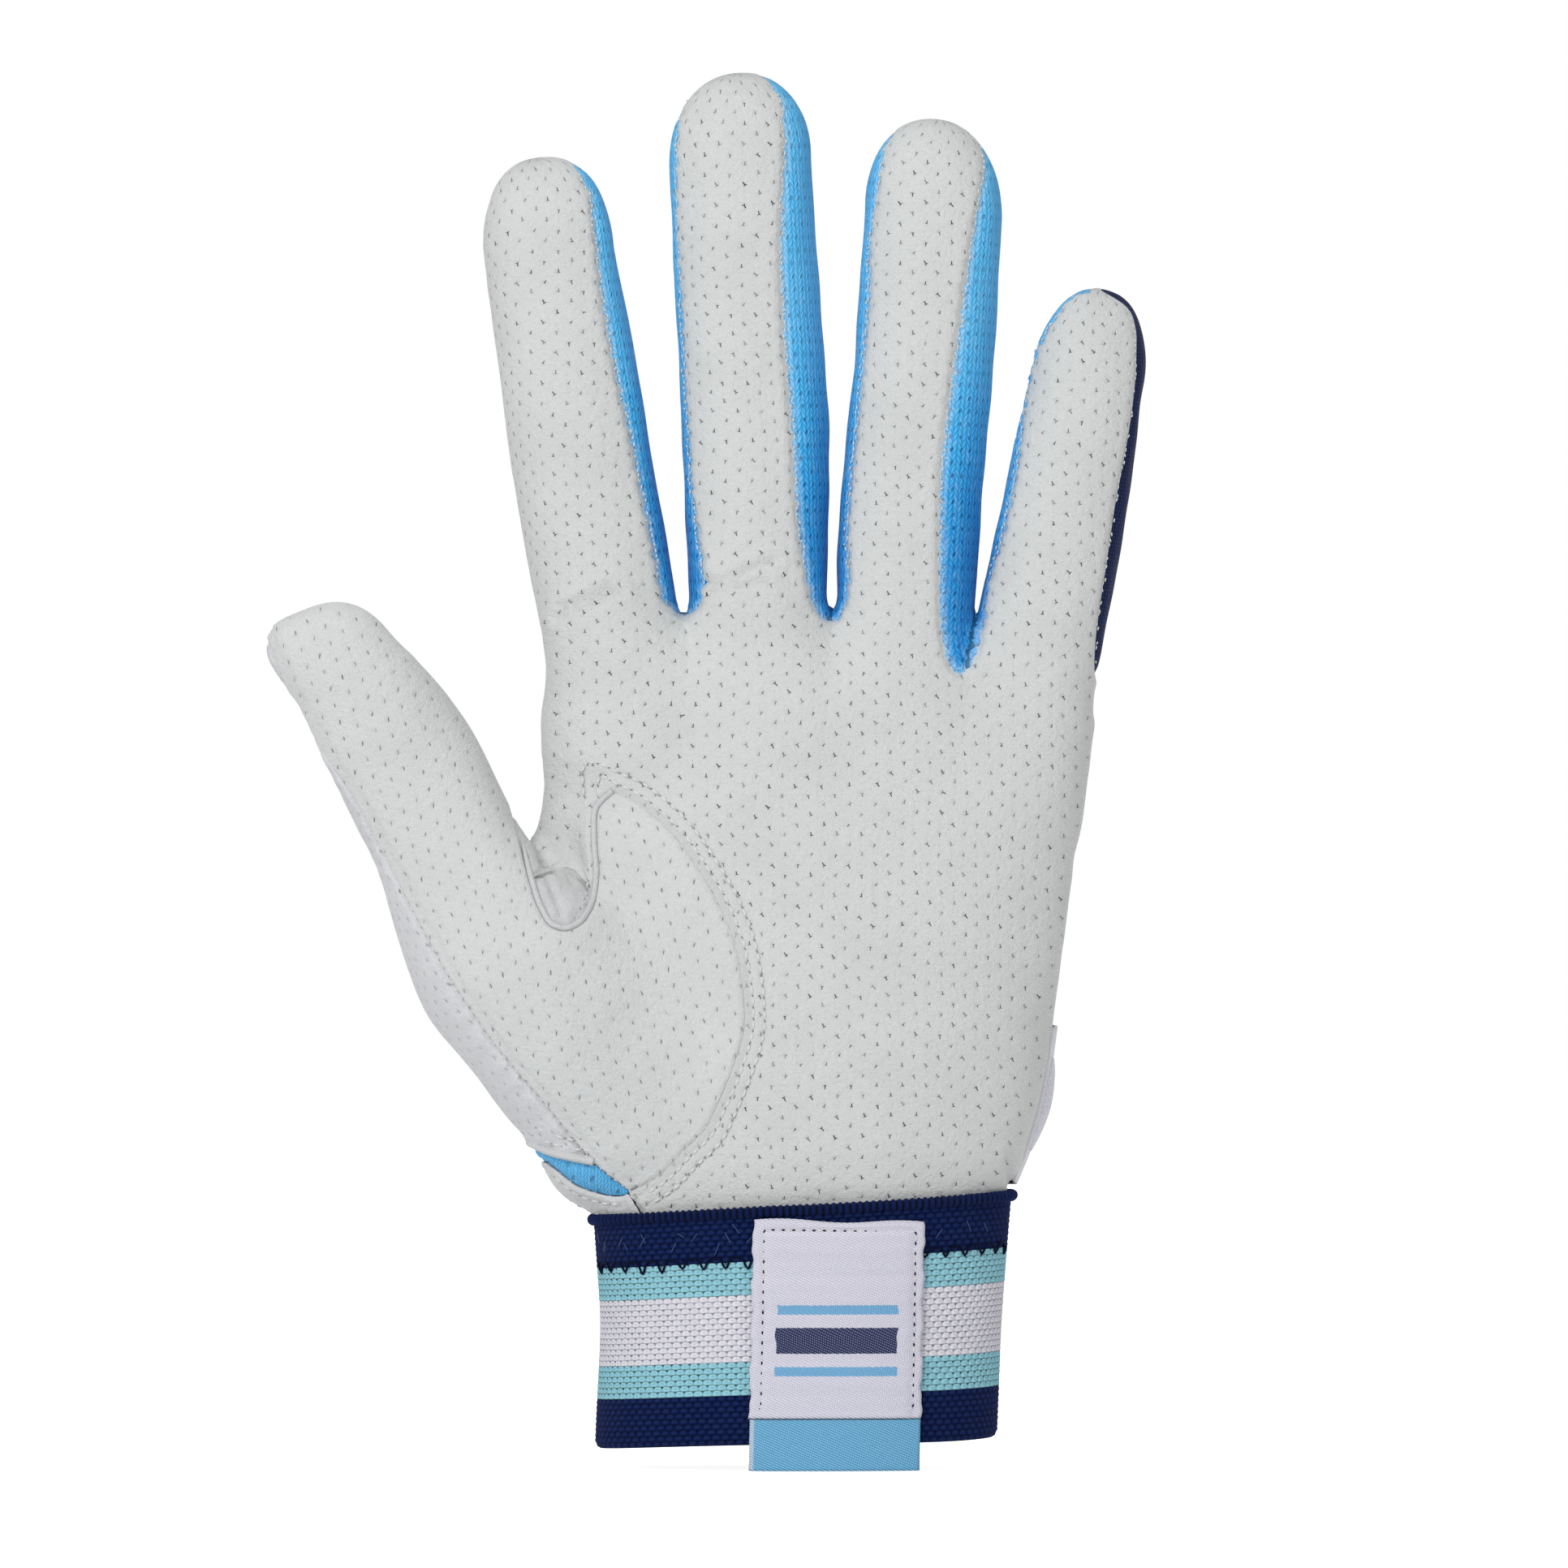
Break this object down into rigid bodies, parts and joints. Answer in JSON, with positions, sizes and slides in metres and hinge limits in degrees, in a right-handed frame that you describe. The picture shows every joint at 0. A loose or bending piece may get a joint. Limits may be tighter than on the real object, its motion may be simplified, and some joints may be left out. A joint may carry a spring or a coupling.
{
  "type": "batting glove",
  "caption": "Left-hand batting glove in perforated pale leather with blue mesh fourchettes, a striped elastic cuff, a woven label and a closure strap.",
  "frame": {"origin": "centre of the wrist opening, in the plane of the cuff rim", "axes": "+Z from the wrist towards the fingertips, +Y from the palm towards the back of the hand, +X towards the little finger"},
  "size_m": [0.1418, 0.0413, 0.2266],
  "materials": {
    "palm_leather": "matte perforated",
    "mesh_knit": "open knit",
    "navy_knit": "ribbed knit",
    "cuff_knit": "striped elastic knit",
    "woven_ribbon": "woven twill",
    "strap_laminate": "smooth laminate",
    "hook_and_loop": "napped"
  },
  "bodies": {
    "hand": {"back_panel": "navy_knit", "crotch_index_middle": "mesh_knit", "crotch_middle_ring": "mesh_knit", "crotch_ring_little": "mesh_knit", "cuff_band": "cuff_knit", "cuff_edge": "cuff_knit", "loop_patch": "hook_and_loop", "palm_panel": "palm_leather", "strap_base": "strap_laminate", "thumb_ball_panel": "palm_leather", "thumb_base_window": "mesh_knit", "thumb_side_panel": "palm_leather", "web_gusset": "palm_leather", "woven_label": "woven_ribbon"},
    "index_lower": {"index_back_lower": "navy_knit", "index_front_lower": "palm_leather", "index_ulnar_fourchette_lower": "mesh_knit"},
    "index_upper": {"index_back_upper": "navy_knit", "index_front_upper": "palm_leather", "index_ulnar_fourchette_upper": "mesh_knit"},
    "middle_lower": {"middle_back_lower": "navy_knit", "middle_front_lower": "palm_leather", "middle_radial_fourchette_lower": "mesh_knit", "middle_ulnar_fourchette_lower": "mesh_knit"},
    "middle_upper": {"middle_back_upper": "navy_knit", "middle_front_upper": "palm_leather", "middle_radial_fourchette_upper": "mesh_knit", "middle_ulnar_fourchette_upper": "mesh_knit"},
    "ring_lower": {"ring_back_lower": "navy_knit", "ring_front_lower": "palm_leather", "ring_radial_fourchette_lower": "mesh_knit", "ring_ulnar_fourchette_lower": "mesh_knit"},
    "ring_upper": {"ring_back_upper": "navy_knit", "ring_front_upper": "palm_leather", "ring_radial_fourchette_upper": "mesh_knit", "ring_ulnar_fourchette_upper": "mesh_knit"},
    "little_lower": {"little_back_lower": "navy_knit", "little_front_lower": "palm_leather", "little_radial_fourchette_lower": "mesh_knit"},
    "little_upper": {"little_back_upper": "navy_knit", "little_front_upper": "palm_leather", "little_radial_fourchette_upper": "mesh_knit"},
    "thumb_lower": {"thumb_back_lower": "palm_leather", "thumb_front_lower": "palm_leather"},
    "thumb_upper": {"thumb_back_upper": "palm_leather", "thumb_front_upper": "palm_leather"},
    "strap": {"closure_strap": "strap_laminate", "hook_patch": "hook_and_loop", "pull_tab": "woven_ribbon"},
    "tail": {"label_tail": "woven_ribbon"}
  },
  "joints": [
    {"name": "index_base_flex", "type": "hinge", "parent": "hand", "child": "index_lower", "pos_m": [-0.0313, -0.0101, 0.1378], "axis": [0.9863, 0, 0.165], "range_deg": [0, 65], "stiffness_Nm_per_rad": 0.03},
    {"name": "index_knuckle_flex", "type": "hinge", "parent": "index_lower", "child": "index_upper", "pos_m": [-0.03592, -0.00971, 0.16542], "axis": [0.9863, 0, 0.165], "range_deg": [0, 80], "stiffness_Nm_per_rad": 0.02},
    {"name": "middle_base_flex", "type": "hinge", "parent": "hand", "child": "middle_lower", "pos_m": [-0.0063, -0.0103, 0.1391], "axis": [0.9988, 0, 0.048], "range_deg": [0, 65], "stiffness_Nm_per_rad": 0.03},
    {"name": "middle_knuckle_flex", "type": "hinge", "parent": "middle_lower", "child": "middle_upper", "pos_m": [-0.00783, -0.00992, 0.17106], "axis": [0.9988, 0, 0.048], "range_deg": [0, 80], "stiffness_Nm_per_rad": 0.02},
    {"name": "ring_base_flex", "type": "hinge", "parent": "hand", "child": "ring_lower", "pos_m": [0.0173, -0.0101, 0.1372], "axis": [0.9972, 0, -0.075], "range_deg": [0, 65], "stiffness_Nm_per_rad": 0.03},
    {"name": "ring_knuckle_flex", "type": "hinge", "parent": "ring_lower", "child": "ring_upper", "pos_m": [0.01947, -0.00965, 0.16612], "axis": [0.9972, 0, -0.075], "range_deg": [0, 80], "stiffness_Nm_per_rad": 0.02},
    {"name": "little_base_flex", "type": "hinge", "parent": "hand", "child": "little_lower", "pos_m": [0.0391, -0.0093, 0.1286], "axis": [0.9848, 0, -0.1736], "range_deg": [0, 65], "stiffness_Nm_per_rad": 0.03},
    {"name": "little_knuckle_flex", "type": "hinge", "parent": "little_lower", "child": "little_upper", "pos_m": [0.04292, -0.00891, 0.15027], "axis": [0.9848, 0, -0.1736], "range_deg": [0, 80], "stiffness_Nm_per_rad": 0.02},
    {"name": "thumb_base_flex", "type": "hinge", "parent": "hand", "child": "thumb_lower", "pos_m": [-0.0572, -0.017, 0.102], "axis": [0.8599, 0, 0.5105], "range_deg": [0, 45], "stiffness_Nm_per_rad": 0.03},
    {"name": "thumb_knuckle_flex", "type": "hinge", "parent": "thumb_lower", "child": "thumb_upper", "pos_m": [-0.06716, -0.01816, 0.11877], "axis": [0.8599, 0, 0.5105], "range_deg": [0, 60], "stiffness_Nm_per_rad": 0.02},
    {"name": "strap_peel", "type": "hinge", "parent": "hand", "child": "strap", "pos_m": [-0.02533, 0.01411, 0.0555], "axis": [-0.0664, -0.0618, 0.9959], "range_deg": [0, 120]},
    {"name": "label_tail_lift", "type": "hinge", "parent": "hand", "child": "tail", "pos_m": [0.0063, -0.02065, 0.005], "axis": [-1, 0, 0], "range_deg": [0, 150]}
  ]
}
